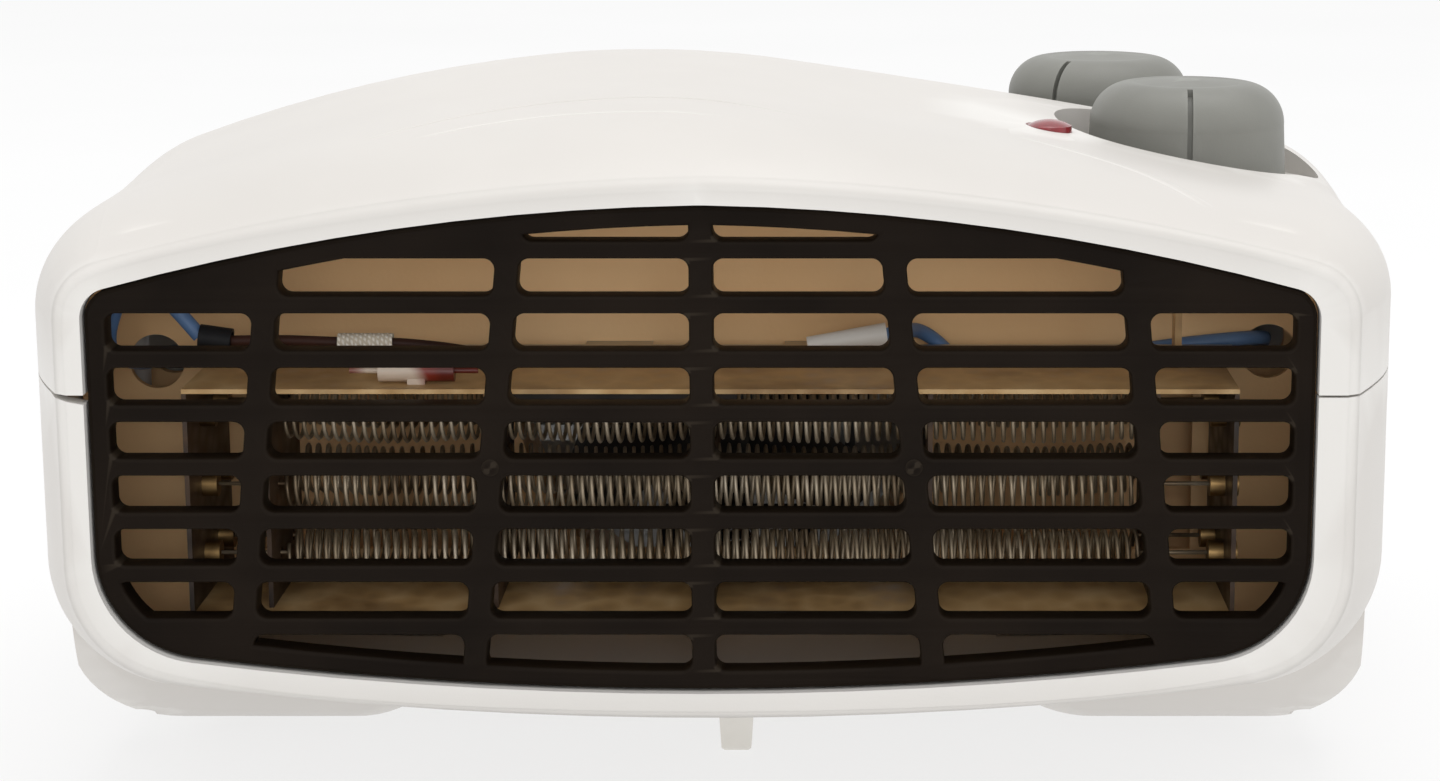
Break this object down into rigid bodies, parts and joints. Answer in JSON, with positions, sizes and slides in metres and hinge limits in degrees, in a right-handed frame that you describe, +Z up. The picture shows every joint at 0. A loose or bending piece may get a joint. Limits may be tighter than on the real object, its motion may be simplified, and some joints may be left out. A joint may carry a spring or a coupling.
{
  "type": "portable fan heater",
  "caption": "Flat portable fan heater: domed two-piece casing, slotted front grille, wire-coil element, axial fan, two top knobs, tip-over switch.",
  "frame": {"origin": "on the ground plane, under the middle of the casing's width and depth", "axes": "+X to the right seen from the front, +Y to the back, +Z up; the air leaves towards -Y"},
  "size_m": [0.2414, 0.196, 0.1276],
  "materials": {
    "casing_white": "satin",
    "grille_black": "satin",
    "knob_grey": "satin",
    "lamp_red": "gloss",
    "lamp_glass": "clear",
    "zinc_steel": "zinc plated",
    "switch_black": "matte",
    "ceramic_white": "unglazed",
    "bimetal": "satin",
    "mica": "flaky satin",
    "heating_wire": "oxidised",
    "brass": "dull",
    "cutout_black": "matte",
    "fuse_red": "glazed",
    "glass_fibre": "woven",
    "nylon_white": "satin",
    "shroud_beige": "matte",
    "fan_plastic": "satin",
    "rotor_steel": "machined",
    "copper": "enamelled",
    "bronze": "sintered",
    "spring_steel": "bright",
    "rubber_black": "matte",
    "lead_blue": "satin",
    "lead_brown": "satin"
  },
  "bodies": {
    "casing": {"bearing_bushes": "bronze", "bimetal_blade": "bimetal", "casing_screws": "zinc_steel", "cord_inlet_bush": "rubber_black", "duct_baffle": "shroud_beige", "element_brackets": "zinc_steel", "element_rails": "zinc_steel", "fan_shroud": "shroud_beige", "foot_pads": "rubber_black", "front_coils": "heating_wire", "front_grille": "grille_black", "glass_sleeve": "glass_fibre", "lamp_lens": "lamp_red", "lead_fuse": "lead_brown", "lead_guide": "mica", "lead_lamp": "lead_blue", "lead_left": "lead_blue", "lead_right": "lead_blue", "lead_sleeve": "switch_black", "lower_casing": "casing_white", "mica_bottom": "mica", "mica_combs": "mica", "mica_end_left": "mica", "mica_end_right": "mica", "mica_top": "mica", "motor_screws": "zinc_steel", "motor_strap": "zinc_steel", "neon_lamp": "lamp_glass", "rear_bracket": "zinc_steel", "rear_coils": "heating_wire", "rear_grille": "grille_black", "selector_body": "switch_black", "selector_nut": "zinc_steel", "splice_cap": "nylon_white", "stator_bobbin": "nylon_white", "stator_core": "rotor_steel", "stator_winding": "copper", "strap_screws": "zinc_steel", "terminal_block": "nylon_white", "terminal_rivets": "brass", "thermal_cutout": "cutout_black", "thermal_fuse": "fuse_red", "thermostat_body": "ceramic_white", "thermostat_nut": "zinc_steel", "tip_contacts": "brass", "tip_housing": "switch_black", "tip_spring": "spring_steel", "upper_casing": "casing_white"},
    "function_control": {"function_knob": "knob_grey", "selector_spindle": "zinc_steel"},
    "thermostat_control": {"thermostat_knob": "knob_grey", "thermostat_spindle": "zinc_steel"},
    "fan": {"fan_impeller": "fan_plastic", "motor_shaft": "zinc_steel", "motor_rotor": "rotor_steel"},
    "tip_switch_plunger": {"tip_plunger": "nylon_white", "contact_bridge": "brass"}
  },
  "joints": [
    {"name": "function_knob_turn", "type": "hinge", "parent": "casing", "child": "function_control", "pos_m": [0.0876, -0.015, 0.1045], "axis": [0, 0, 1], "range_deg": [-270, 0]},
    {"name": "thermostat_knob_turn", "type": "hinge", "parent": "casing", "child": "thermostat_control", "pos_m": [0.075, 0.037, 0.1045], "axis": [0, 0, 1], "range_deg": [-280, 0]},
    {"name": "fan_spin", "type": "hinge", "parent": "casing", "child": "fan", "pos_m": [0, 0, 0.066], "axis": [0, 1, 0], "continuous": true},
    {"name": "tip_plunger_slide", "type": "slide", "parent": "casing", "child": "tip_switch_plunger", "axis": [0, 0, 1], "range_m": [-0.006, 0], "stiffness_N_per_m": 40, "springref_m": -0.01, "deforming": ["tip_spring"]}
  ]
}
